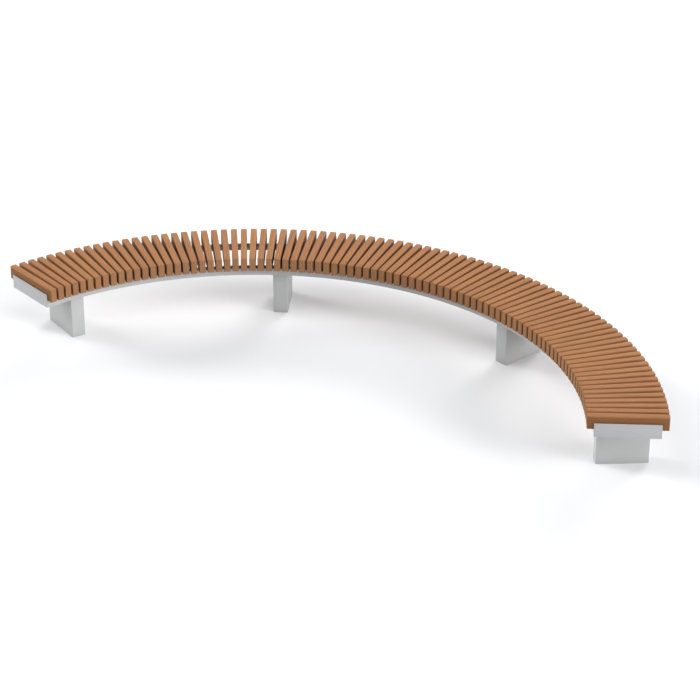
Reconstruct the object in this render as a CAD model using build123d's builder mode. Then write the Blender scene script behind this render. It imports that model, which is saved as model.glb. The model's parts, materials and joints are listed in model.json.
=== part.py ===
from build123d import *
import os
from math import cos, degrees, radians, sin

# A curved bench without a back. Timber slats stand on edge like the rays of a fan. They are screwed from
# below to two rolled steel angles. The angles sit on four bearers, and each bearer is bolted to a boxed
# steel pedestal. Millimetres, +Z up. Angles are in degrees at the centre of the arc, from +Y towards +X.
# The origin is on the ground, in the middle of the bench's plan.

# Seat
SEAT_HEIGHT = 448.0
SEAT_OUTER_RADIUS = 2592.0
SLAT_COUNT = 86
SLAT_PITCH = 1.563  # degrees from one slat to the next
SLAT_LENGTH = 502.0
SLAT_WIDTH = 43.0
SLAT_HEIGHT = 92.0
SLAT_EDGE_RADIUS = 2.5
SLATS_PER_NODE = 3

# Rails: rolled angles with the web on the outside and the flange turned in under the slats
RAIL_MODULES = ("left", "middle", "right")
RAIL_HEIGHT = 51.0
RAIL_FLANGE = 50.0
RAIL_THICKNESS = 6.0
RAIL_ROOT_RADIUS = 5.0
RAIL_TOE_RADIUS = 2.5
RAIL_JOINT_GAP = 1.0
SLAT_OVERHANG = 45.0  # slat end to web face

# Plates that close the two ends of the frame
END_PLATE_THICKNESS = 6.0
END_PLATE_GAP = 5.0  # side of the last slat to the plate
END_PLATE_RISE = 44.0  # above the underside of the slats
END_PLATE_PROUD = 1.0  # past the web faces
END_PLATE_CORNER = 4.0

# Pedestals: folded boxes with a plate let in at the top and at the bottom
PEDESTAL_LENGTH = 335.0
PEDESTAL_WIDTH = 100.0
PEDESTAL_INNER_RADIUS = 2172.0
PEDESTAL_ANGLES = (-60.48, -22.34, 23.06, 60.63)
PEDESTAL_WALL = 5.0
PEDESTAL_CORNER = 6.0
PEDESTAL_INSIDE_CORNER = 1.5
PLATE_CLEARANCE = 0.2
BASE_PLATE_THICKNESS = 8.0
ANCHOR_SPACING = 220.0
ANCHOR_HOLE_RADIUS = 7.0
TOP_PLATE_THICKNESS = 10.0
ACCESS_SLOT_LENGTH = 150.0
ACCESS_SLOT_WIDTH = 46.0

# Bearers: folded channels, open side up, that carry both rails over each pedestal. Past the pedestal the
# floor of the channel is cut away, so that a driver reaches the slat screws.
BEARER_WIDTH = 68.0
BEARER_THICKNESS = 5.0
BEARER_BEND_RADIUS = 7.0
BEARER_END_GAP = 9.0  # from the back of a web, room for a joint plate
BEARER_HOLE_RADIUS = 6.75

# Joint plates: curved bars behind the webs, where two rail modules meet over a middle pedestal
JOINT_PLATE_LENGTH = 190.0
JOINT_PLATE_HEIGHT = 36.0
JOINT_PLATE_THICKNESS = 8.0
JOINT_MIDDLE = 21.0  # above the bottom of the rail
JOINT_STUD_OFFSETS = (-80.0, -54.0, 54.0, 80.0)  # along the web, from the joint

# Fasteners
FIT = 0.1  # radial room around a thread
STUD_CLEARANCE = 0.02  # a flat end against a curved web
SLAT_SCREW_RADIUS = 3.0
SLAT_SCREW_BITE = 52.0
SLAT_SCREW_HEAD_RADIUS = 6.0
SLAT_SCREW_HEAD_HEIGHT = 3.5
SLAT_SCREW_HOLE_RADIUS = 3.4
JOINT_STUD_RADIUS = 4.0
JOINT_STUD_LENGTH = 17.0
JOINT_HOLE_RADIUS = 4.4
JOINT_NUT_ACROSS_FLATS = 13.0
JOINT_NUT_HEIGHT = 6.5
PEDESTAL_BOLT_RADIUS = 6.0
PEDESTAL_BOLT_SPACING = 230.0
PEDESTAL_BOLT_LENGTH = 25.0
BOLT_FLANGE_RADIUS = 13.0
BOLT_FLANGE_HEIGHT = 3.0
BOLT_ACROSS_FLATS = 18.0
BOLT_HEX_HEIGHT = 9.0

# Levels and radii that follow
SLAT_BOTTOM = SEAT_HEIGHT - SLAT_HEIGHT
FLANGE_BOTTOM = SLAT_BOTTOM - RAIL_THICKNESS
RAIL_BOTTOM = SLAT_BOTTOM - RAIL_HEIGHT
SLAT_MIDDLE = SEAT_OUTER_RADIUS - SLAT_LENGTH / 2
INNER_FACE = SEAT_OUTER_RADIUS - SLAT_LENGTH + SLAT_OVERHANG
OUTER_FACE = SEAT_OUTER_RADIUS - SLAT_OVERHANG
RAILS = {"inner": (INNER_FACE, -1), "outer": (OUTER_FACE, 1)}  # web face, and the way it faces
SCREW_INSET = (RAIL_FLANGE + RAIL_THICKNESS) / 2
PEDESTAL_MIDDLE = PEDESTAL_INNER_RADIUS + PEDESTAL_LENGTH / 2
JOINT_ANGLES = PEDESTAL_ANGLES[1:-1]  # the rails meet over the middle pedestals
RAIL_END_ANGLE = SLAT_COUNT * SLAT_PITCH / 2  # before the rails are cut square
RAIL_CUTS = (-RAIL_END_ANGLE, *JOINT_ANGLES, RAIL_END_ANGLE)
SLAT_ANGLES = [(number - (SLAT_COUNT - 1) / 2) * SLAT_PITCH for number in range(SLAT_COUNT)]
END_FACE = SLAT_WIDTH / 2 + END_PLATE_GAP  # inside of an end plate, from the middle of the last slat
UPRIGHT = (Align.CENTER, Align.CENTER, Align.MIN)

# The origin is halfway between the front corners of the two end slats and the back of the middle slats,
# so the arc's centre lies in front of it.
FRONT = (SEAT_OUTER_RADIUS - SLAT_LENGTH) * cos(radians(SLAT_ANGLES[-1])) - SLAT_WIDTH / 2 * sin(
    radians(SLAT_ANGLES[-1])
)
BACK = SEAT_OUTER_RADIUS * cos(radians(SLAT_PITCH / 2)) + SLAT_WIDTH / 2 * sin(radians(SLAT_PITCH / 2))
ARC_CENTRE = (0.0, -(FRONT + BACK) / 2, 0.0)


def outward(angle):
    """Direction from the arc's centre out through an angle."""
    return (sin(radians(angle)), cos(radians(angle)), 0.0)


def onward(angle):
    """Direction along the bench at an angle, towards larger angles."""
    return (cos(radians(angle)), -sin(radians(angle)), 0.0)


def place(angle, radius, height):
    """Point at an angle, a radius and a height."""
    out = outward(angle)
    return (radius * out[0], radius * out[1] + ARC_CENTRE[1], height)


def level_plane(angle, radius, height):
    """Level plane whose X runs outward."""
    return Plane(origin=place(angle, radius, height), x_dir=outward(angle), z_dir=(0, 0, 1))


def cross_plane(angle, offset):
    """Upright plane through the arc's centre, moved along the bench by offset: X outward, Y up."""
    on = onward(angle)
    origin = (offset * on[0], offset * on[1] + ARC_CENTRE[1], 0.0)
    return Plane(origin=origin, x_dir=outward(angle), z_dir=on)


def face_plane(angle, radius, height, way):
    """Upright plane across a ray, facing outward where way is 1 and inward where it is -1: Y up."""
    x_dir = [-way * part for part in onward(angle)]
    z_dir = [way * part for part in outward(angle)]
    return Plane(origin=place(angle, radius, height), x_dir=x_dir, z_dir=z_dir)


def save(piece, name):
    """Labels a finished piece and writes its STEP file."""
    piece.part.label = name
    export_step(piece.part, f"parts/{name}.step")


def slat_screw_radius(side):
    """Radius of the row of slat screws in a rail, midway across the free part of its flange."""
    face, way = RAILS[side]
    return face - way * SCREW_INSET


def write_slats():
    """The slats, a few neighbours to a node, each with its long edges rounded and two blind pilot holes."""
    with BuildPart() as slat:
        Box(SLAT_LENGTH, SLAT_WIDTH, SLAT_HEIGHT, align=UPRIGHT)
        fillet(slat.edges().filter_by(Axis.X), SLAT_EDGE_RADIUS)
        with Locations(*[(slat_screw_radius(side) - SLAT_MIDDLE, 0, 0) for side in RAILS]):
            Cylinder(SLAT_SCREW_RADIUS + FIT, SLAT_SCREW_BITE, align=UPRIGHT, mode=Mode.SUBTRACT)
    for first in range(0, SLAT_COUNT, SLATS_PER_NODE):
        angles = SLAT_ANGLES[first : first + SLATS_PER_NODE]
        with BuildPart() as slats:
            with Locations(*[level_plane(angle, SLAT_MIDDLE, SLAT_BOTTOM) for angle in angles]):
                add(slat.part)
        save(slats, f"slats_{first + 1:02d}_to_{first + len(angles):02d}")


def write_slat_screws():
    """One node of slat screws for each rail: a washer head under the flange and a pointed shank."""
    reach = RAIL_THICKNESS + SLAT_SCREW_BITE - FIT
    with BuildPart() as screw:
        with BuildSketch(Plane.XZ):
            with BuildLine():
                Polyline(
                    (0, -SLAT_SCREW_HEAD_HEIGHT),
                    (SLAT_SCREW_HEAD_RADIUS, -SLAT_SCREW_HEAD_HEIGHT),
                    (SLAT_SCREW_HEAD_RADIUS, 0),
                    (SLAT_SCREW_RADIUS, 0),
                    (SLAT_SCREW_RADIUS, reach - 2 * SLAT_SCREW_RADIUS),
                    (0, reach),
                    close=True,
                )
            make_face()
        revolve(axis=Axis.Z)
    for side in RAILS:
        radius = slat_screw_radius(side)
        with BuildPart() as screws:
            with Locations(*[level_plane(angle, radius, FLANGE_BOTTOM) for angle in SLAT_ANGLES]):
                add(screw.part)
        save(screws, f"slat_screws_{side}")


def joint_planes(side, depth):
    """Planes behind the web of a rail at its joint studs, depth from the web's back, facing away from it."""
    face, way = RAILS[side]
    radius = face - way * (RAIL_THICKNESS + depth)
    height = RAIL_BOTTOM + JOINT_MIDDLE
    angles = [joint + degrees(offset / face) for joint in JOINT_ANGLES for offset in JOINT_STUD_OFFSETS]
    return [face_plane(angle, radius, height, -way) for angle in angles]


def write_joint_fasteners():
    """Studs welded to the backs of the webs, which leaves the rails' faces plain, and the nuts on them."""
    with BuildPart() as stud:
        Cylinder(JOINT_STUD_RADIUS, JOINT_STUD_LENGTH, align=UPRIGHT)
    with BuildPart() as studs:
        with Locations(*[plane for side in RAILS for plane in joint_planes(side, STUD_CLEARANCE)]):
            add(stud.part)
    save(studs, "joint_studs")

    with BuildPart() as nut:
        with BuildSketch():
            RegularPolygon(JOINT_NUT_ACROSS_FLATS / 2, 6, major_radius=False)
            Circle(JOINT_STUD_RADIUS + FIT, mode=Mode.SUBTRACT)
        extrude(amount=JOINT_NUT_HEIGHT)
    depth = FIT + JOINT_PLATE_THICKNESS + STUD_CLEARANCE
    with BuildPart() as nuts:
        with Locations(*[plane for side in RAILS for plane in joint_planes(side, depth)]):
            add(nut.part)
    save(nuts, "joint_nuts")


def write_rails():
    """Three modules of each rail, drilled for the slat screws and cut square at the ends of the bench."""
    for side, (face, way) in RAILS.items():
        gap = degrees(RAIL_JOINT_GAP / 2 / face)
        toe = face - way * RAIL_FLANGE
        back = face - way * RAIL_THICKNESS
        for name, first_cut, last_cut in zip(RAIL_MODULES, RAIL_CUTS, RAIL_CUTS[1:]):
            start, stop = first_cut + gap, last_cut - gap
            drilled = [angle for angle in SLAT_ANGLES if start < angle < stop]
            holes = [level_plane(angle, slat_screw_radius(side), SLAT_BOTTOM) for angle in drilled]
            with BuildPart() as rail:
                with BuildSketch(cross_plane(start, 0)) as section:
                    with BuildLine():
                        Polyline(
                            (face, SLAT_BOTTOM),
                            (face, RAIL_BOTTOM),
                            (back, RAIL_BOTTOM),
                            (back, FLANGE_BOTTOM),
                            (toe, FLANGE_BOTTOM),
                            (toe, SLAT_BOTTOM),
                            close=True,
                        )
                    make_face()
                    fillet(section.vertices().sort_by_distance((back, FLANGE_BOTTOM))[0], RAIL_ROOT_RADIUS)
                    fillet(section.vertices().sort_by_distance((back, RAIL_BOTTOM))[0], RAIL_TOE_RADIUS)
                    fillet(section.vertices().sort_by_distance((toe, FLANGE_BOTTOM))[0], RAIL_TOE_RADIUS)
                revolve(axis=Axis(ARC_CENTRE, (0, 0, -1)), revolution_arc=stop - start)
                with Locations(*holes):
                    Cylinder(SLAT_SCREW_HOLE_RADIUS, 3 * RAIL_THICKNESS, mode=Mode.SUBTRACT)
                if name == RAIL_MODULES[0]:
                    split(bisect_by=cross_plane(SLAT_ANGLES[0], -END_FACE), keep=Keep.TOP)
                if name == RAIL_MODULES[-1]:
                    split(bisect_by=cross_plane(SLAT_ANGLES[-1], END_FACE), keep=Keep.BOTTOM)
            save(rail, f"{side}_rail_{name}")


def write_joint_plates():
    """One node for each joint: a curved bar behind the web of each rail."""
    bottom = RAIL_BOTTOM + JOINT_MIDDLE - JOINT_PLATE_HEIGHT / 2
    for joint, name in zip(JOINT_ANGLES, ("left", "right")):
        with BuildPart() as plates:
            for side, (face, way) in RAILS.items():
                middle = face - way * (RAIL_THICKNESS + FIT + JOINT_PLATE_THICKNESS / 2)
                half = degrees(JOINT_PLATE_LENGTH / 2 / face)
                with BuildSketch(cross_plane(joint - half, 0)):
                    with Locations((middle, bottom)):
                        Rectangle(JOINT_PLATE_THICKNESS, JOINT_PLATE_HEIGHT, align=(Align.CENTER, Align.MIN))
                revolve(axis=Axis(ARC_CENTRE, (0, 0, -1)), revolution_arc=2 * half)
                with Locations(*joint_planes(side, 0)):
                    Cylinder(JOINT_HOLE_RADIUS, 2 * JOINT_STUD_LENGTH, mode=Mode.SUBTRACT)
        save(plates, f"joint_plates_{name}")


def write_end_plates():
    """The upright plate across each end of the frame."""
    width = OUTER_FACE - INNER_FACE + 2 * END_PLATE_PROUD
    height = RAIL_HEIGHT + END_PLATE_RISE
    for name, angle, way in (("left", SLAT_ANGLES[0], -1), ("right", SLAT_ANGLES[-1], 1)):
        with BuildPart() as plate:
            with BuildSketch(cross_plane(angle, way * END_FACE)):
                with Locations(((INNER_FACE + OUTER_FACE) / 2, RAIL_BOTTOM + height / 2)):
                    RectangleRounded(width, height, END_PLATE_CORNER)
            extrude(amount=way * END_PLATE_THICKNESS)
        save(plate, f"end_plate_{name}")


def write_pedestals():
    """The box, base plate and top plate of each pedestal."""
    inside = (PEDESTAL_LENGTH - 2 * PEDESTAL_WALL, PEDESTAL_WIDTH - 2 * PEDESTAL_WALL)
    plate = [size - 2 * PLATE_CLEARANCE for size in inside]
    for number, angle in enumerate(PEDESTAL_ANGLES, start=1):
        with BuildPart() as box:
            with BuildSketch(level_plane(angle, PEDESTAL_MIDDLE, 0)):
                RectangleRounded(PEDESTAL_LENGTH, PEDESTAL_WIDTH, PEDESTAL_CORNER)
                RectangleRounded(*inside, PEDESTAL_INSIDE_CORNER, mode=Mode.SUBTRACT)
            extrude(amount=RAIL_BOTTOM)
        save(box, f"pedestal_{number}_box")

        with BuildPart() as base_plate:
            with BuildSketch(level_plane(angle, PEDESTAL_MIDDLE, 0)):
                RectangleRounded(*plate, PEDESTAL_INSIDE_CORNER)
                with GridLocations(ANCHOR_SPACING, 0, 2, 1):
                    Circle(ANCHOR_HOLE_RADIUS, mode=Mode.SUBTRACT)
            extrude(amount=BASE_PLATE_THICKNESS)
        save(base_plate, f"pedestal_{number}_base_plate")

        with BuildPart() as top_plate:
            with BuildSketch(level_plane(angle, PEDESTAL_MIDDLE, RAIL_BOTTOM)):
                RectangleRounded(*plate, PEDESTAL_INSIDE_CORNER)
                SlotOverall(ACCESS_SLOT_LENGTH, ACCESS_SLOT_WIDTH, mode=Mode.SUBTRACT)
                with GridLocations(PEDESTAL_BOLT_SPACING, 0, 2, 1):
                    Circle(PEDESTAL_BOLT_RADIUS + FIT, mode=Mode.SUBTRACT)
            extrude(amount=-TOP_PLATE_THICKNESS)
        save(top_plate, f"pedestal_{number}_top_plate")


def write_bearers():
    """The channel that carries both rails over each pedestal."""
    height = FLANGE_BOTTOM - RAIL_BOTTOM
    start = INNER_FACE + RAIL_THICKNESS + BEARER_END_GAP
    stop = OUTER_FACE - RAIL_THICKNESS - BEARER_END_GAP
    inner_width = BEARER_WIDTH - 2 * BEARER_THICKNESS
    for number, angle in enumerate(PEDESTAL_ANGLES, start=1):
        with BuildPart() as bearer:
            with BuildSketch(face_plane(angle, start, FLANGE_BOTTOM, 1)):
                RectangleRounded(BEARER_WIDTH, 2 * height, BEARER_BEND_RADIUS)
                RectangleRounded(
                    inner_width,
                    2 * (height - BEARER_THICKNESS),
                    BEARER_BEND_RADIUS - BEARER_THICKNESS,
                    mode=Mode.SUBTRACT,
                )
                Rectangle(BEARER_WIDTH, height, align=(Align.CENTER, Align.MIN), mode=Mode.SUBTRACT)
            extrude(amount=stop - start)
            for edge, side, cope in (
                (start, Align.MIN, PEDESTAL_INNER_RADIUS - start),
                (stop, Align.MAX, stop - PEDESTAL_INNER_RADIUS - PEDESTAL_LENGTH),
            ):
                with Locations(level_plane(angle, edge, RAIL_BOTTOM)):
                    Box(
                        cope,
                        BEARER_WIDTH,
                        BEARER_BEND_RADIUS,
                        align=(side, Align.CENTER, Align.MIN),
                        mode=Mode.SUBTRACT,
                    )
            with Locations(level_plane(angle, PEDESTAL_MIDDLE, RAIL_BOTTOM)):
                with GridLocations(PEDESTAL_BOLT_SPACING, 0, 2, 1):
                    Cylinder(BEARER_HOLE_RADIUS, 4 * BEARER_THICKNESS, mode=Mode.SUBTRACT)
        save(bearer, f"bearer_{number}")


def write_pedestal_bolts():
    """Flanged hexagon bolts, two down through each bearer into the top plate of its pedestal."""
    with BuildPart() as bolt:
        Cylinder(BOLT_FLANGE_RADIUS, BOLT_FLANGE_HEIGHT, align=UPRIGHT)
        with BuildSketch(Plane.XY.offset(BOLT_FLANGE_HEIGHT)):
            RegularPolygon(BOLT_ACROSS_FLATS / 2, 6, major_radius=False)
        extrude(amount=BOLT_HEX_HEIGHT)
        Cylinder(
            PEDESTAL_BOLT_RADIUS,
            PEDESTAL_BOLT_LENGTH,
            align=(Align.CENTER, Align.CENTER, Align.MAX),
        )
    radii = [PEDESTAL_MIDDLE + way * PEDESTAL_BOLT_SPACING / 2 for way in (-1, 1)]
    height = RAIL_BOTTOM + BEARER_THICKNESS
    spots = [level_plane(angle, radius, height) for angle in PEDESTAL_ANGLES for radius in radii]
    with BuildPart() as bolts:
        with Locations(*spots):
            add(bolt.part)
    save(bolts, "pedestal_bolts")


def main():
    os.makedirs("parts", exist_ok=True)
    write_slats()
    write_slat_screws()
    write_rails()
    write_joint_plates()
    write_joint_fasteners()
    write_end_plates()
    write_pedestals()
    write_bearers()
    write_pedestal_bolts()


main()
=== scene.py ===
import json

import bpy
import numpy as np
from bpy.props import FloatProperty, FloatVectorProperty, IntProperty, PointerProperty
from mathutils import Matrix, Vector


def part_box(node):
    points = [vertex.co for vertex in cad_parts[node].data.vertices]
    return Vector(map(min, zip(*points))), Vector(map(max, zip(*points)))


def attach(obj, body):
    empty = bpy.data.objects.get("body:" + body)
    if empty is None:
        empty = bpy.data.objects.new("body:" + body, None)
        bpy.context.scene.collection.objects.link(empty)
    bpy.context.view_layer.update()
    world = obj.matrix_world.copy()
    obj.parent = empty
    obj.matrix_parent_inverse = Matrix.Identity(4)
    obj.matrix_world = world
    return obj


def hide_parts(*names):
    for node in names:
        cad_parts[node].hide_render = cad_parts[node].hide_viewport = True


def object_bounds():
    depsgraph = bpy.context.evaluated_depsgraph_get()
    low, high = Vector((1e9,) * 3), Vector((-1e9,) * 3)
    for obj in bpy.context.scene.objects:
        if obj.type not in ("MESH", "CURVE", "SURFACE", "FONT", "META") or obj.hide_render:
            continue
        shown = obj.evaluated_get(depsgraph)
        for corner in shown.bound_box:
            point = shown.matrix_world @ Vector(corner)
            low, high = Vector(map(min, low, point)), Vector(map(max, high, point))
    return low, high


bl_info = {
    "name": "Curved backless bench",
    "version": (1, 0, 0),
    "blender": (4, 5, 0),
    "location": "3D View > Sidebar > Bench",
    "description": "Timber slats, steel frame and studio of a curved backless bench",
    "category": "Object",
}

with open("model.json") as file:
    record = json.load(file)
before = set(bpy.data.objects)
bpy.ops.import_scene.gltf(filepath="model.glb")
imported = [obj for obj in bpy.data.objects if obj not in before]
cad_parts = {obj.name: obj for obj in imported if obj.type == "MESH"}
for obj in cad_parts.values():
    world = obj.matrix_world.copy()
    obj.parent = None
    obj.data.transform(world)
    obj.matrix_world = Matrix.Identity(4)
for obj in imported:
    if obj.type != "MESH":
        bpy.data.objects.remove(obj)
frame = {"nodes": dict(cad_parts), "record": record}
CAD_LOW, CAD_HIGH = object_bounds()
NODES = frame["nodes"]

# The plan of the bench. Lengths are metres, angles are degrees from the middle of the arc towards +X.
SLAT_COUNT = 86
SLAT_PITCH = 1.563
SEAT_OUTER_RADIUS = 2.592
SLAT_LENGTH = 0.502
SLAT_WIDTH = 0.043
SLAT_TOP = CAD_HIGH.z
SLAT_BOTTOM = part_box("inner_rail_middle")[1].z
RAIL_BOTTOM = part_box("inner_rail_middle")[0].z
HALF_PITCH = np.radians(SLAT_PITCH / 2)
ARC_CENTRE_Y = CAD_HIGH.y - SEAT_OUTER_RADIUS * np.cos(HALF_PITCH) - SLAT_WIDTH / 2 * np.sin(HALF_PITCH)
LAST_SLAT = SLAT_PITCH * (SLAT_COUNT - 1) / 2
SLAT_OVERHANG = 0.045
INNER_FACE = SEAT_OUTER_RADIUS - SLAT_LENGTH + SLAT_OVERHANG
OUTER_FACE = SEAT_OUTER_RADIUS - SLAT_OVERHANG
RAIL_FLANGE = 0.05
RAIL_THICKNESS = 0.006
RAIL_ROOT_RADIUS = 0.005
RAIL_TOE_RADIUS = 0.0025
RAIL_JOINT_GAP = 0.001
RAIL_MODULES = ("left", "middle", "right")
RAIL_STATIONS = 73
END_PLATE_GAP = 0.005
END_FACE = SLAT_WIDTH / 2 + END_PLATE_GAP
END_PLATE_THICKNESS = 0.006
END_PLATE_PROUD = 0.001
PEDESTAL_LENGTH = 0.335
PEDESTAL_WIDTH = 0.1
PEDESTAL_WALL = 0.005
PEDESTAL_INSIDE_CORNER = 0.0015
PEDESTAL_INNER_RADIUS = 2.172
PEDESTAL_MIDDLE = PEDESTAL_INNER_RADIUS + PEDESTAL_LENGTH / 2
PEDESTAL_ANGLES = (-60.48, -22.34, 23.06, 60.63)

# Grain: waves in a metre along, across and through a board
SWAY_WAVES = (2.2, 9.0, 9.0)
FIGURE_WAVES = (5.0, 55.0, 55.0)
FIBRE_WAVES = (14.0, 620.0, 620.0)
PORE_WAVES = (95.0, 2300.0, 2300.0)
END_GRAIN_WAVES = (40.0, 900.0, 900.0)

# Depths over which the end grain and the painted shade on the sides in the gaps set in
END_GRAIN_START = 0.0035
END_GRAIN_FULL = 0.0008
GAP_SHADE_START = 0.002
GAP_SHADE_FULL = 0.014

# Steel: waves in a metre, and the height of the painted shade round a foot
CLOUD_WAVES = 3.2
FLECK_WAVES = 240.0
PEEL_WAVES = 520.0
TURNING_WAVES = 900.0
FOOT_SHADE_HEIGHT = 0.05

# Softboxes round the bench: name, bearing from its front towards +X, strength low down and high up.
LAMPS = (
    ("right_front", 45, 0.69, 0.69),
    ("right", 90, 2.54, 0.38),
    ("back", 180, 2.68, 0.0),
    ("left_back", 225, 0.69, 0.0),
    ("left", 270, 2.64, 0.17),
    ("left_front", 315, 0.38, 0.88),
)
LOW_LAMPS = (18, 30)  # height over the floor and spread, in degrees
HIGH_LAMPS = (50, 40)
FLOOR_REACH = 120.0
SENSOR_WIDTH = 36.0


# ---------------------------------------------------------------- shapes


def outward(angle):
    """Unit vectors from the arc's centre out through angles in degrees: (sin a, cos a)."""
    a = np.radians(angle)
    return np.stack([np.sin(a), np.cos(a), np.zeros_like(a)], -1)


def onward(angle):
    """Unit vectors along the bench at angles in degrees, towards larger angles: (cos a, -sin a)."""
    a = np.radians(angle)
    return np.stack([np.cos(a), -np.sin(a), np.zeros_like(a)], -1)


def rounded_outline(width, height, corner, steps):
    """Closed outline of a rectangle with round corners, anticlockwise, as rows of (x, y).

    Each quarter adds corner * (cos t, sin t) to the middle of its corner, which lies corner inside both
    sides. The four quarters follow one another, and the straight sides join them.
    """
    quarter = np.linspace(0, np.pi / 2, steps + 1)
    turns = (quarter + np.arange(4)[:, None] * np.pi / 2).ravel()
    signs = np.repeat([[1, 1], [-1, 1], [-1, -1], [1, -1]], steps + 1, axis=0)
    middle = signs * [width / 2 - corner, height / 2 - corner]
    return middle + corner * np.stack([np.cos(turns), np.sin(turns)], -1)


def split_sides(outline, parts):
    """Outline with its long straight sides divided into parts by even points between their ends.

    A side counts as long where it is over an eighth of the longest one.
    """
    following = np.roll(outline, -1, axis=0)
    lengths = np.linalg.norm(following - outline, axis=1)
    long_side = lengths > lengths.max() / 8
    rows = []
    for start, stop, divide in zip(outline, following, long_side):
        share = np.linspace(0, 1, parts + 1)[:-1] if divide else np.zeros(1)
        rows.append(start + share[:, None] * (stop - start))
    return np.concatenate(rows)


def bar_grid(length, width, height, corner, end_round, spans, steps):
    """Rows of outlines along a bar with round edges, in the bar's own axes: X along, Y across, Z up.

    Along each end the outline shrinks by end_round * (1 - cos t) while it moves out by
    end_round * sin t, so the ends are rounded over all round.
    """
    t = np.linspace(0, np.pi / 2, steps + 1)
    out = length / 2 - end_round + end_round * np.sin(t)
    inset = end_round * (1 - np.cos(t))
    middle = np.linspace(-1, 1, spans + 1)[1:-1] * (length / 2 - end_round)
    along = np.concatenate([-out[::-1], middle, out])
    shrink = np.concatenate([inset[::-1], np.zeros(len(middle)), inset])
    outlines = [rounded_outline(width - 2 * s, height - 2 * s, corner - s, steps) for s in shrink]
    return np.stack([np.column_stack([np.full(len(o), x), o]) for x, o in zip(along, outlines)])


def grid_faces(rows, columns, first=0, wrap_rows=False):
    """Quads of a grid whose columns close on themselves, and whose rows do too where wrap_rows is set."""
    row = np.arange(rows if wrap_rows else rows - 1)[:, None]
    column = np.arange(columns)[None]
    a = row * columns + column
    b = row * columns + (column + 1) % columns
    c = (row + 1) % rows * columns + (column + 1) % columns
    d = (row + 1) % rows * columns + column
    return np.stack([a, b, c, d], -1).reshape(-1, 4) + first


def make_piece(name, grids, capped=True, smooth_angle=40.0, attributes=None):
    """One mesh from grids of points, each a closed tube, with flat caps on its two ends where capped."""
    points, faces, first = [], [], 0
    for grid in grids:
        rows, columns = grid.shape[:2]
        faces += grid_faces(rows, columns, first, wrap_rows=not capped).tolist()
        if capped:
            faces.append(list(range(first + columns - 1, first - 1, -1)))
            faces.append(list(range(first + (rows - 1) * columns, first + rows * columns)))
        points.append(grid.reshape(-1, 3))
        first += rows * columns
    mesh = bpy.data.meshes.new(name)
    mesh.from_pydata(np.concatenate(points), [], faces)
    for key, values in (attributes or {}).items():
        layer = mesh.attributes.new(key, "FLOAT_VECTOR", "POINT")
        layer.data.foreach_set("vector", np.ascontiguousarray(values, np.float32).ravel())
    if signed_volume(mesh) < 0:
        mesh.flip_normals()
    mesh.shade_smooth()
    mesh.set_sharp_from_angle(angle=np.radians(smooth_angle))
    piece = bpy.data.objects.new(name, mesh)
    bpy.context.scene.collection.objects.link(piece)
    return piece


def signed_volume(mesh):
    """Six times the volume that a closed mesh holds, negative where its faces point inwards."""
    mesh.calc_loop_triangles()
    corners = np.empty(len(mesh.loop_triangles) * 3, np.int32)
    mesh.loop_triangles.foreach_get("vertices", corners)
    points = np.empty(len(mesh.vertices) * 3, np.float32)
    mesh.vertices.foreach_get("co", points)
    a, b, c = points.reshape(-1, 3)[corners.reshape(-1, 3)].transpose(1, 0, 2).astype(float)
    return np.einsum("ij,ij->i", a, np.cross(b, c)).sum()


def finish_piece(piece, material, slot, *nodes):
    """Gives a piece its material, stands it in for its CAD nodes and lets it ride on the bench."""
    piece.data.materials.append(material)
    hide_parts(*nodes)
    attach(piece, "root")


# ---------------------------------------------------------------- materials


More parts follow.
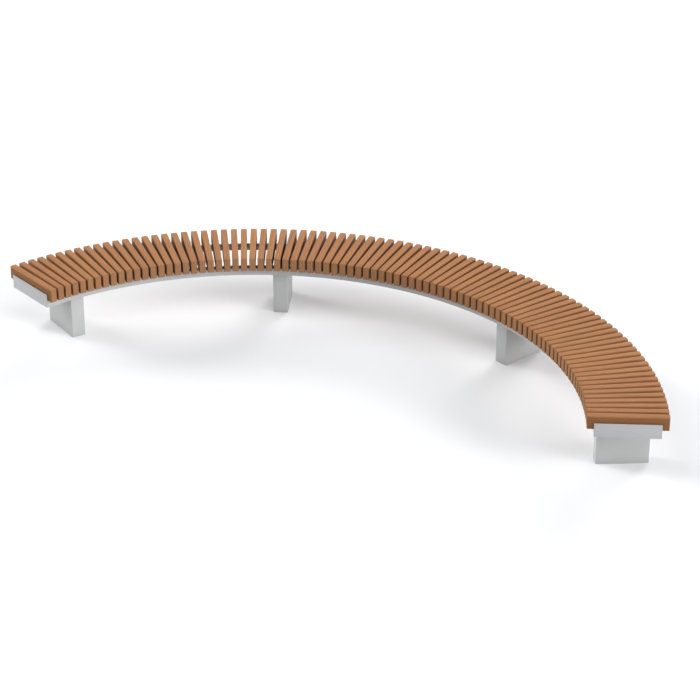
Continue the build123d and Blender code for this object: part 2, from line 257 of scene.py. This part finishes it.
class Shader:
    """A material's node tree, with short calls to add nodes and join their sockets."""

    def __init__(self, name, **constants):
        self.material = bpy.data.materials.new(name)
        self.material.use_nodes = True
        self.tree = self.material.node_tree
        self.surface = self.tree.nodes["Principled BSDF"]
        for socket, value in constants.items():
            self.surface.inputs[socket.replace("_", " ")].default_value = value

    def add(self, kind, inputs=None, **settings):
        """Adds a node, sets its properties, and fills its inputs with values or with other sockets."""
        node = self.tree.nodes.new(kind)
        for key, value in settings.items():
            setattr(node, key, value)
        for key, value in (inputs or {}).items():
            self.feed(node.inputs[key], value)
        return node

    def feed(self, socket, value):
        """Joins a socket to another one, or sets its value."""
        if isinstance(value, bpy.types.NodeSocket):
            self.tree.links.new(value, socket)
        else:
            socket.default_value = value

    def math(self, operation, first, second=0.0, third=0.0):
        """One number from up to three others."""
        return self.add("ShaderNodeMath", {0: first, 1: second, 2: third}, operation=operation).outputs[0]

    def vector(self, operation, first, second=(0.0, 0.0, 0.0), third=(0.0, 0.0, 0.0)):
        """One vector from up to three others."""
        node = self.add("ShaderNodeVectorMath", {0: first, 1: second, 2: third}, operation=operation)
        return node.outputs[0]

    def scaled(self, colour, level):
        """A colour times a number."""
        node = self.add("ShaderNodeVectorMath", {0: colour, "Scale": level}, operation="SCALE")
        return node.outputs[0]

    def length(self, vector):
        """The length of a vector."""
        return self.add("ShaderNodeVectorMath", {0: vector}, operation="LENGTH").outputs["Value"]

    def noise(self, where, scale, detail=3.0, roughness=0.55, stretch=(1.0, 1.0, 1.0)):
        """Soft noise from 0 to 1 over a stretched space."""
        space = self.vector("MULTIPLY", where, stretch)
        inputs = {"Vector": space, "Scale": scale, "Detail": detail, "Roughness": roughness}
        return self.add("ShaderNodeTexNoise", inputs).outputs["Fac"]

    def step(self, value, low, high, start=0.0, stop=1.0):
        """A smooth step of a value from low to high, given as start to stop."""
        inputs = {"Value": value, "From Min": low, "From Max": high, "To Min": start, "To Max": stop}
        return self.add("ShaderNodeMapRange", inputs, interpolation_type="SMOOTHSTEP").outputs[0]

    def blend(self, share, first, second, mode="MIX"):
        """Two colours mixed by a share."""
        node = self.add("ShaderNodeMix", data_type="RGBA", blend_type=mode)
        self.feed(node.inputs[0], share)
        for socket, value in ((node.inputs[6], first), (node.inputs[7], second)):
            self.feed(socket, value if isinstance(value, bpy.types.NodeSocket) else (*value, 1.0))
        return node.outputs[2]

    def bump(self, height, distance, strength=1.0, under=None):
        """A bumped normal, on top of another one where given."""
        inputs = {"Height": height, "Distance": distance, "Strength": strength}
        if under is not None:
            inputs["Normal"] = under
        return self.add("ShaderNodeBump", inputs).outputs[0]


def oiled_hardwood(timber):
    """Reddish hardwood: growth rings round a pith beside the board, fibres, pores, and tones of its own.

    The board attribute is the place in the board's own axes, and tone holds three random numbers that
    are the same all over one board. The rings are a sine of the distance from the pith, swayed by slow
    noise. The sawn ends take their own tone, and the sides get painted shade down in the gaps.
    """
    wood = Shader("oiled_hardwood", Specular_IOR_Level=0.05)
    board = wood.add("ShaderNodeAttribute", attribute_name="board").outputs["Vector"]
    tone = wood.add("ShaderNodeAttribute", attribute_name="tone").outputs["Vector"]
    dice = wood.add("ShaderNodeSeparateXYZ", {0: tone})
    place = wood.vector("MULTIPLY_ADD", tone, (9.0, 5.0, 7.0), board)

    sway = wood.noise(place, 1.0, stretch=SWAY_WAVES)
    pith = wood.vector("MULTIPLY_ADD", tone, (0.0, 0.16, 0.10), (0.0, -0.08, -0.13))
    from_pith = wood.vector("MULTIPLY", wood.vector("SUBTRACT", board, pith), (0.0, 1.0, 1.0))
    swayed = wood.math("MULTIPLY_ADD", sway, 0.012, wood.length(from_pith))
    ring = wood.math("SINE", wood.math("MULTIPLY", swayed, 2 * np.pi / timber.ring_spacing))
    late = wood.step(ring, -0.2, 0.95)

    figure = wood.noise(place, 1.0, 4.0, 0.6, stretch=FIGURE_WAVES)
    fibre = wood.noise(place, 1.0, 5.0, 0.6, stretch=FIBRE_WAVES)
    pores = wood.step(wood.noise(place, 1.0, 2.0, 0.5, stretch=PORE_WAVES), 0.60, 0.72)

    warm = wood.blend(wood.step(dice.outputs[0], 0.0, 1.0), timber.pink_tone, timber.honey_tone)
    drift = wood.step(figure, 0.35, 0.68)
    ground = wood.blend(drift, warm, timber.base_tone)
    ground = wood.blend(wood.math("MULTIPLY", late, 0.30), ground, timber.ring_tone)
    ground = wood.blend(wood.step(fibre, 0.35, 0.75, 0.0, 0.34), ground, timber.ring_tone)
    ground = wood.blend(wood.math("MULTIPLY", pores, 0.42), ground, timber.pore_tone)

    along, across, up = wood.add("ShaderNodeSeparateXYZ", {0: board}).outputs
    half = SLAT_LENGTH / 2
    end_grain = wood.step(wood.math("ABSOLUTE", along), half - END_GRAIN_START, half - END_GRAIN_FULL)
    speckle = wood.noise(place, 1.0, 3.0, 0.7, stretch=END_GRAIN_WAVES)
    end_colour = wood.blend(wood.step(speckle, 0.3, 0.8, 0.0, 0.4), timber.end_tone, timber.ring_tone)
    ground = wood.blend(wood.math("MULTIPLY", end_grain, 0.85), ground, end_colour)
    # Painted shade: the sides of each board darken below the top, where the gaps between the boards lie in
    # shade.
    side = wood.step(wood.math("ABSOLUTE", across), SLAT_WIDTH / 2 - timber.edge_radius, SLAT_WIDTH / 2)
    top = timber.slat_height / 2
    deep = wood.step(up, top - GAP_SHADE_START, top - GAP_SHADE_FULL)
    gap_shade = wood.math("MULTIPLY", wood.math("MULTIPLY", side, deep), timber.side_gap_shade)
    contrast = timber.board_contrast
    level = wood.math("MULTIPLY_ADD", dice.outputs[1], contrast, 1.0 - contrast / 2)
    level = wood.math("MULTIPLY", level, wood.math("SUBTRACT", 1.0, gap_shade))
    level = wood.math("MULTIPLY", level, wood.step(figure, 0.3, 0.7, 1.06, 0.94))
    wood.feed(wood.surface.inputs["Base Color"], wood.scaled(ground, level))

    relief = wood.math("MULTIPLY_ADD", pores, -0.8, fibre)
    grain = wood.bump(relief, 0.00035, 0.7)
    wood.feed(wood.surface.inputs["Normal"], wood.bump(late, 0.00012, 0.6, grain))
    rough = wood.math("MULTIPLY_ADD", fibre, 0.16, 0.48)
    wood.feed(wood.surface.inputs["Roughness"], wood.math("MULTIPLY_ADD", end_grain, 0.15, rough))
    return wood.material


def satin_coat(name, colour, steel, inside_shade=0.0):
    """Light grey coating on steel: a fine orange peel, a faint mottle, and painted shade darkening the
    foot.

    Where the inside share is set, the faces between the two webs get that much painted shade, as they lie
    under the seat. They are told by their distance from the arc's middle line.
    """
    coat = Shader(name, Specular_IOR_Level=0.42, Coat_Weight=steel.coat_gloss, Coat_Roughness=0.38)
    place = coat.add("ShaderNodeTexCoord").outputs["Object"]
    cloud = coat.noise(place, CLOUD_WAVES, 3.0, 0.6)
    fleck = coat.noise(place, FLECK_WAVES, 2.0, 0.6)
    mottle = coat.step(cloud, 0.3, 0.7, 1.0 - steel.mottle, 1.0 + steel.mottle)
    level = coat.math("MULTIPLY", mottle, coat.step(fleck, 0.2, 0.8, 0.985, 1.015))
    # Painted shade: the coating darkens towards the floor, over the lowest few centimetres.
    height = coat.add("ShaderNodeSeparateXYZ", {0: place}).outputs[2]
    foot_shade = coat.step(height, 0.0, FOOT_SHADE_HEIGHT, 0.95, 1.0)
    level = coat.math("MULTIPLY", level, foot_shade)
    # Painted shade: the faces inside the frame, under the seat, are darkened.
    if inside_shade:
        from_centre = coat.vector("SUBTRACT", place, (0.0, ARC_CENTRE_Y, 0.0))
        radius = coat.length(coat.vector("MULTIPLY", from_centre, (1.0, 1.0, 0.0)))
        from_middle = coat.math("ABSOLUTE", coat.math("SUBTRACT", radius, (INNER_FACE + OUTER_FACE) / 2))
        half = (OUTER_FACE - INNER_FACE) / 2
        inside_shade_factor = coat.step(from_middle, half - 0.004, half - 0.001, 1.0 - inside_shade, 1.0)
        level = coat.math("MULTIPLY", level, inside_shade_factor)
    coat.feed(coat.surface.inputs["Base Color"], coat.scaled(tuple(colour), level))
    coat.feed(coat.surface.inputs["Roughness"], coat.step(cloud, 0.25, 0.75, 0.42, 0.52))
    peel = coat.noise(place, PEEL_WAVES, 2.0, 0.5)
    coat.feed(coat.surface.inputs["Normal"], coat.bump(peel, 0.00006, 0.5))
    return coat.material


def plain_stainless():
    """Stainless fasteners: bright metal with fine turning marks."""
    metal = Shader("plain_stainless", Metallic=1.0, Base_Color=(0.61, 0.60, 0.58, 1.0))
    place = metal.add("ShaderNodeTexCoord").outputs["Object"]
    marks = metal.noise(place, TURNING_WAVES, 3.0, 0.6, stretch=(1.0, 1.0, 6.0))
    metal.feed(metal.surface.inputs["Roughness"], metal.step(marks, 0.2, 0.8, 0.26, 0.42))
    metal.feed(metal.surface.inputs["Normal"], metal.bump(marks, 0.00004, 0.5))
    return metal.material


# ---------------------------------------------------------------- settings


def size_setting(name, text, default):
    """A length in metres."""
    return FloatProperty(
        name=name, description=text, default=default, min=0.0, subtype="DISTANCE", unit="LENGTH"
    )


def colour_setting(name, text, default):
    """A colour, red to blue from 0 to 1."""
    return FloatVectorProperty(
        name=name, description=text, default=default, min=0.0, max=1.0, subtype="COLOR"
    )


def share_setting(name, text, default):
    """A share from 0 to 1."""
    return FloatProperty(name=name, description=text, default=default, min=0.0, max=1.0, subtype="FACTOR")


def angle_setting(name, text, degrees):
    """An angle, given in degrees."""
    default = np.radians(degrees)
    return FloatProperty(name=name, description=text, default=default, subtype="ANGLE", unit="ROTATION")


class BenchTimber(bpy.types.PropertyGroup):
    """Sizes and colours of the slats."""

    slat_height: size_setting("Slat height", "Height of a slat on edge", SLAT_TOP - SLAT_BOTTOM)
    edge_radius: size_setting("Edge radius", "Rounding of the long edges", 0.0025)
    end_radius: size_setting("End radius", "Rounding of the sawn ends", 0.0022)
    length_play: size_setting("Length play", "Most that a slat is shorter than its fellows", 0.0012)
    ring_spacing: size_setting("Ring spacing", "Distance between two growth rings", 0.0046)
    seed: IntProperty(name="Seed", description="Start of the random tones and lengths", default=7, min=0)
    board_contrast: share_setting("Board contrast", "Spread of lightness from board to board", 0.08)
    # Painted shade on the sides of the boards in the gaps
    side_gap_shade: share_setting("Side gap shade", "Darkening of the sides in the gaps", 0.4)
    base_tone: colour_setting("Base tone", "Main colour of the wood", (0.331, 0.152, 0.065))
    pink_tone: colour_setting("Pink tone", "Colour of the redder boards", (0.335, 0.147, 0.065))
    honey_tone: colour_setting("Honey tone", "Colour of the yellower boards", (0.335, 0.160, 0.062))
    ring_tone: colour_setting("Ring tone", "Colour of the late growth rings", (0.249, 0.107, 0.042))
    pore_tone: colour_setting("Pore tone", "Colour of the open pores", (0.136, 0.057, 0.025))
    end_tone: colour_setting("End tone", "Colour of the end grain", (0.231, 0.119, 0.061))


class BenchSteel(bpy.types.PropertyGroup):
    """Sizes and colours of the steel frame."""

    edge_radius: size_setting("Edge radius", "Rounding of the plates' edges", 0.0011)
    pedestal_corner: size_setting("Pedestal corner", "Outer bend radius of the pedestals", 0.006)
    plate_corner: size_setting("Plate corner", "Corner radius of the end plates", 0.004)
    mottle: share_setting("Mottle", "Unevenness of the coating", 0.02)
    coat_gloss: share_setting("Gloss", "Clear gloss on the coating", 0.12)
    # Painted shade on the faces inside the frame, under the seat
    inside_shade_share: share_setting("Inside shade", "How much darker the hidden faces are", 0.6)
    plate_colour: colour_setting("Plate colour", "Coating of the pedestals", (0.372, 0.375, 0.375))
    rail_colour: colour_setting(
        "Rail colour", "Coating of the rails, end plates and bearers", (0.346, 0.349, 0.349)
    )


class BenchStage(bpy.types.PropertyGroup):
    """Camera, lights and floor."""

    camera_bearing: angle_setting(
        "Camera bearing", "Angle at the arc's centre from the front of the bench to the camera", 29.55
    )
    camera_distance: size_setting("Camera distance", "From the arc's centre, over the floor", 12.991)
    camera_height: size_setting("Camera height", "Above the floor", 7.551)
    camera_pan: angle_setting("Camera pan", "Turn to the right of the arc's centre", 2.861)
    camera_tilt: angle_setting("Camera tilt", "Turn below the horizon", 27.397)
    lens: FloatProperty(
        name="Lens",
        description="Focal length",
        default=124.5,
        min=1,
        subtype="DISTANCE_CAMERA",
        unit="CAMERA",
    )
    floor_colour: colour_setting("Floor colour", "Plain pale floor", (0.79, 0.802, 0.82))
    surround: FloatProperty(name="Surround", description="Brightness of the backdrop", default=1.2, min=0)
    lamp_level: FloatProperty(
        name="Lamp level", description="Strength of all the softboxes", default=1.0, min=0
    )


# ---------------------------------------------------------------- pieces


def slat_numbers(node):
    """First and last slat number in a CAD node's name."""
    _, first, _, last = node.split("_")
    return int(first), int(last)


class BENCH_OT_slats(bpy.types.Operator):
    """Boards on edge, round at their long edges and ends, each with its own figure and tone"""

    bl_idname = "bench.slats"
    bl_label = "Add slats"

    def execute(self, context):
        timber = context.scene.bench_timber
        dice = np.random.default_rng(timber.seed)
        tones = dice.random((SLAT_COUNT, 3))
        trims = dice.random(SLAT_COUNT) * timber.length_play
        wood = oiled_hardwood(timber)
        middle = SEAT_OUTER_RADIUS - SLAT_LENGTH / 2
        height = (SLAT_TOP + SLAT_BOTTOM) / 2
        for node in sorted(n for n in NODES if n.startswith("slats_")):
            first, last = slat_numbers(node)
            grids, boards, spread = [], [], []
            for number in range(first - 1, last):
                angle = (number - (SLAT_COUNT - 1) / 2) * SLAT_PITCH
                local = bar_grid(
                    SLAT_LENGTH - trims[number],
                    SLAT_WIDTH,
                    timber.slat_height,
                    timber.edge_radius,
                    timber.end_radius,
                    spans=8,
                    steps=4,
                )
                grids.append(
                    np.array([0, ARC_CENTRE_Y, height])
                    + (middle + local[..., :1]) * outward(angle)
                    + local[..., 1:2] * onward(angle)
                    + local[..., 2:] * [0, 0, 1]
                )
                boards.append(local.reshape(-1, 3))
                spread.append(np.broadcast_to(tones[number], boards[-1].shape))
            attributes = {"board": np.concatenate(boards), "tone": np.concatenate(spread)}
            piece = make_piece(f"boards_{first:02d}_to_{last:02d}", grids, attributes=attributes)
            finish_piece(piece, wood, "hardwood", node)
        return {"FINISHED"}


def rail_section(face, way, edge):
    """Closed outline of a rolled angle as rows of (radius, height), with rounded toes, root and heel."""
    toe = face - way * RAIL_FLANGE
    back = face - way * RAIL_THICKNESS
    under = SLAT_BOTTOM - RAIL_THICKNESS
    corners = np.array(
        [
            (face, SLAT_BOTTOM),
            (toe, SLAT_BOTTOM),
            (toe, under),
            (back, under),
            (back, RAIL_BOTTOM),
            (face, RAIL_BOTTOM),
        ]
    )
    radii = np.array([edge, edge, RAIL_TOE_RADIUS, RAIL_ROOT_RADIUS, RAIL_TOE_RADIUS, edge])
    return round_corners(corners, radii, steps=5)


def round_corners(corners, radii, steps):
    """Closed outline with each right-angled corner replaced by a quarter circle of its radius.

    A quarter from the incoming side to the outgoing side is centre - r * (out cos t - in sin t) with the
    centre at the corner - r * in + r * out, for t from 0 to a quarter turn.
    """
    incoming = corners - np.roll(corners, 1, axis=0)
    incoming /= np.linalg.norm(incoming, axis=1)[:, None]
    outgoing = np.roll(incoming, -1, axis=0)
    t = np.linspace(0, np.pi / 2, steps + 1)[None, :, None]
    r = radii[:, None, None]
    centre = corners[:, None] - r * incoming[:, None] + r * outgoing[:, None]
    arcs = centre - r * (outgoing[:, None] * np.cos(t) - incoming[:, None] * np.sin(t))
    return arcs.reshape(-1, 2)


def rail_grid(section, start, stop, stations):
    """A section carried round the arc from one cut to the other.

    start and stop give each section point its own angle, so an end may be cut along a plane that misses
    the arc's centre.
    """
    share = np.linspace(0, 1, stations)[:, None]
    angle = start + (stop - start) * share
    radius = section[:, 0][None, :, None]
    flat = radius * outward(angle)
    flat[..., 1] += ARC_CENTRE_Y
    flat[..., 2] = section[:, 1]
    return flat


class BENCH_OT_rails(bpy.types.Operator):
    """Rolled steel angles under the inner and outer ends of the slats, in three lengths each"""

    bl_idname = "bench.rails"
    bl_label = "Add rails"

    def execute(self, context):
        steel = context.scene.bench_steel
        coat = satin_coat("rail_coat", steel.rail_colour, steel, steel.inside_shade_share)
        for side, face, way in (("inner", INNER_FACE, -1), ("outer", OUTER_FACE, 1)):
            section = rail_section(face, way, steel.edge_radius)
            radius = section[:, 0]
            half_gap = np.degrees(RAIL_JOINT_GAP / 2 / face)
            cut = LAST_SLAT + np.degrees(np.arcsin(END_FACE / radius))
            square = np.zeros_like(radius)
            for module, name in enumerate(RAIL_MODULES):
                start = -cut if name == "left" else square + PEDESTAL_ANGLES[module] + half_gap
                stop = cut if name == "right" else square + PEDESTAL_ANGLES[module + 1] - half_gap
                grid = rail_grid(section, start, stop, RAIL_STATIONS)
                piece = make_piece(f"{side}_angle_{name}", [grid])
                finish_piece(piece, coat, "coated_rail", f"{side}_rail_{name}")
        return {"FINISHED"}


class BENCH_OT_end_plates(bpy.types.Operator):
    """Flat plates with eased edges across both ends of the frame"""

    bl_idname = "bench.end_plates"
    bl_label = "Add end plates"

    def execute(self, context):
        steel = context.scene.bench_steel
        coat = satin_coat("end_plate_coat", steel.rail_colour, steel)
        for name, way in (("left", -1), ("right", 1)):
            node = f"end_plate_{name}"
            low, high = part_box(node)
            angle = way * LAST_SLAT
            local = bar_grid(
                END_PLATE_THICKNESS,
                OUTER_FACE - INNER_FACE + 2 * END_PLATE_PROUD,
                high.z - low.z,
                steel.plate_corner,
                steel.edge_radius,
                spans=1,
                steps=4,
            )
            depth = way * (END_FACE + END_PLATE_THICKNESS / 2) + local[..., :1]
            across = (OUTER_FACE + INNER_FACE) / 2 + local[..., 1:2]
            grid = (
                np.array([0, ARC_CENTRE_Y, (high.z + low.z) / 2])
                + across * outward(angle)
                + depth * onward(angle)
                + local[..., 2:] * [0, 0, 1]
            )
            finish_piece(make_piece(f"end_cover_{name}", [grid]), coat, "coated_plate", node)
        return {"FINISHED"}


def wall_profile(height, wall, edge, steps):
    """Closed profile of a sheet wall on edge as rows of (inset, height), rounded at both rims.

    It is the rounded outline of a rectangle as wide as the wall and as high as the pedestal, moved so
    that its outer side has no inset.
    """
    outline = rounded_outline(wall, height, edge, steps)
    return split_sides(outline, parts=4) + [wall / 2, height / 2]


class BENCH_OT_pedestals(bpy.types.Operator):
    """Folded steel boxes with round upright corners, open at both ends"""

    bl_idname = "bench.pedestals"
    bl_label = "Add pedestals"

    def execute(self, context):
        steel = context.scene.bench_steel
        coat = satin_coat("pedestal_coat", steel.plate_colour, steel)
        profile = wall_profile(RAIL_BOTTOM, PEDESTAL_WALL, steel.edge_radius, steps=3)
        inset, height = profile.T
        corner = np.maximum(steel.pedestal_corner - inset, PEDESTAL_INSIDE_CORNER)
        for number, angle in enumerate(PEDESTAL_ANGLES, start=1):
            outlines = np.stack(
                [
                    rounded_outline(PEDESTAL_LENGTH - 2 * d, PEDESTAL_WIDTH - 2 * d, c, 6)
                    for d, c in zip(inset, corner)
                ]
            )
            grid = (
                (PEDESTAL_MIDDLE + outlines[..., :1]) * outward(angle)
                + outlines[..., 1:] * onward(angle)
                + height[:, None, None] * [0, 0, 1]
                + [0, ARC_CENTRE_Y, 0]
            )
            piece = make_piece(f"pedestal_{number}_shell", [grid], capped=False)
            finish_piece(piece, coat, "coated_plate", f"pedestal_{number}_box")
        return {"FINISHED"}


class BENCH_OT_hardware(bpy.types.Operator):
    """Finishes for the bearers, plates, screws, studs, nuts and bolts, whose shapes are the frame's own"""

    bl_idname = "bench.hardware"
    bl_label = "Finish hardware"

    def execute(self, context):
        steel = context.scene.bench_steel
        finishes = {
            "coated_rail": satin_coat("bearer_coat", steel.rail_colour, steel, steel.inside_shade_share),
            "coated_plate": satin_coat("inner_plate_coat", steel.plate_colour, steel),
            "stainless_fasteners": plain_stainless(),
        }
        for part in frame["record"]["subparts"]:
            node = NODES[part["node"]]
            if not node.hide_render:
                for slot in node.material_slots:
                    slot.material = finishes[part["material_slot"]]
        return {"FINISHED"}


# ---------------------------------------------------------------- stage


def add_lamp(name, bearing, height, spread, strength):
    """A wide, far-off softbox: its bearing from the front towards +X, its height and spread in degrees."""
    data = bpy.data.lights.new(name, "SUN")
    data.energy = strength
    data.angle = np.radians(spread)
    lamp = bpy.data.objects.new(name, data)
    lamp.rotation_euler = (np.radians(90 - height), 0.0, np.radians(bearing))
    bpy.context.scene.collection.objects.link(lamp)


class BENCH_OT_stage(bpy.types.Operator):
    """Plain pale floor, even studio light and the camera"""

    bl_idname = "bench.stage"
    bl_label = "Set stage"

    def execute(self, context):
        stage = context.scene.bench_stage
        self.add_floor(stage)
        self.add_light(context, stage)
        self.add_camera(context, stage)
        context.scene.view_settings.view_transform = "Standard"
        return {"FINISHED"}

    def add_floor(self, stage):
        """A square floor far wider than the view."""
        corners = np.array([(-1, -1, 0), (1, -1, 0), (1, 1, 0), (-1, 1, 0)]) * FLOOR_REACH
        mesh = bpy.data.meshes.new("floor")
        mesh.from_pydata(corners, [], [(0, 1, 2, 3)])
        floor = bpy.data.objects.new("floor", mesh)
        bpy.context.scene.collection.objects.link(floor)
        colour = (*stage.floor_colour, 1.0)
        paint = Shader("pale_floor", Roughness=0.9, Specular_IOR_Level=0.1, Base_Color=colour)
        mesh.materials.append(paint.material)

    def add_light(self, context, stage):
        """A white surround, which only shows behind the floor, and wide softboxes round the bench."""
        surround = bpy.data.worlds.new("surround")
        surround.use_nodes = True
        background = surround.node_tree.nodes["Background"]
        background.inputs["Color"].default_value = (1.0, 1.0, 1.0, 1.0)
        background.inputs["Strength"].default_value = stage.surround
        surround.cycles_visibility.diffuse = False
        surround.cycles_visibility.glossy = False
        context.scene.world = surround
        for name, bearing, low, high in LAMPS:
            for level, strength, lamps in (("low", low, LOW_LAMPS), ("high", high, HIGH_LAMPS)):
                if strength:
                    add_lamp(f"{level}_{name}", bearing, *lamps, strength * stage.lamp_level)

    def add_camera(self, context, stage):
        """A long lens in front of the bench, to the right of its middle."""
        data = bpy.data.cameras.new("camera")
        data.lens = stage.lens
        data.sensor_width = SENSOR_WIDTH
        camera = bpy.data.objects.new("camera", data)
        context.scene.collection.objects.link(camera)
        bearing, pan = stage.camera_bearing, stage.camera_pan
        camera.location = (
            stage.camera_distance * np.sin(bearing),
            ARC_CENTRE_Y - stage.camera_distance * np.cos(bearing),
            stage.camera_height,
        )
        camera.rotation_euler = (np.pi / 2 - stage.camera_tilt, 0.0, bearing - pan)
        context.scene.camera = camera


class BENCH_PT_panel(bpy.types.Panel):
    """Lists the steps that make the bench"""

    bl_idname = "BENCH_PT_panel"
    bl_label = "Bench"
    bl_space_type = "VIEW_3D"
    bl_region_type = "UI"
    bl_category = "Bench"

    def draw(self, context):
        for step in STEPS:
            self.layout.operator(step.bl_idname)
        for group in SETTINGS:
            settings = getattr(context.scene, group)
            for name in settings.__annotations__:
                self.layout.prop(settings, name)


STEPS = (
    BENCH_OT_slats,
    BENCH_OT_rails,
    BENCH_OT_end_plates,
    BENCH_OT_pedestals,
    BENCH_OT_hardware,
    BENCH_OT_stage,
)
SETTINGS = {"bench_timber": BenchTimber, "bench_steel": BenchSteel, "bench_stage": BenchStage}


def register():
    for cls in (*SETTINGS.values(), *STEPS, BENCH_PT_panel):
        bpy.utils.register_class(cls)
    for name, cls in SETTINGS.items():
        setattr(bpy.types.Scene, name, PointerProperty(type=cls))


def unregister():
    for name in SETTINGS:
        delattr(bpy.types.Scene, name)
    for cls in (BENCH_PT_panel, *reversed(STEPS), *reversed(SETTINGS.values())):
        bpy.utils.unregister_class(cls)


def main():
    register()
    bpy.ops.bench.slats()
    bpy.ops.bench.rails()
    bpy.ops.bench.end_plates()
    bpy.ops.bench.pedestals()
    bpy.ops.bench.hardware()
    bpy.ops.bench.stage()


if __name__ == "__main__":
    main()
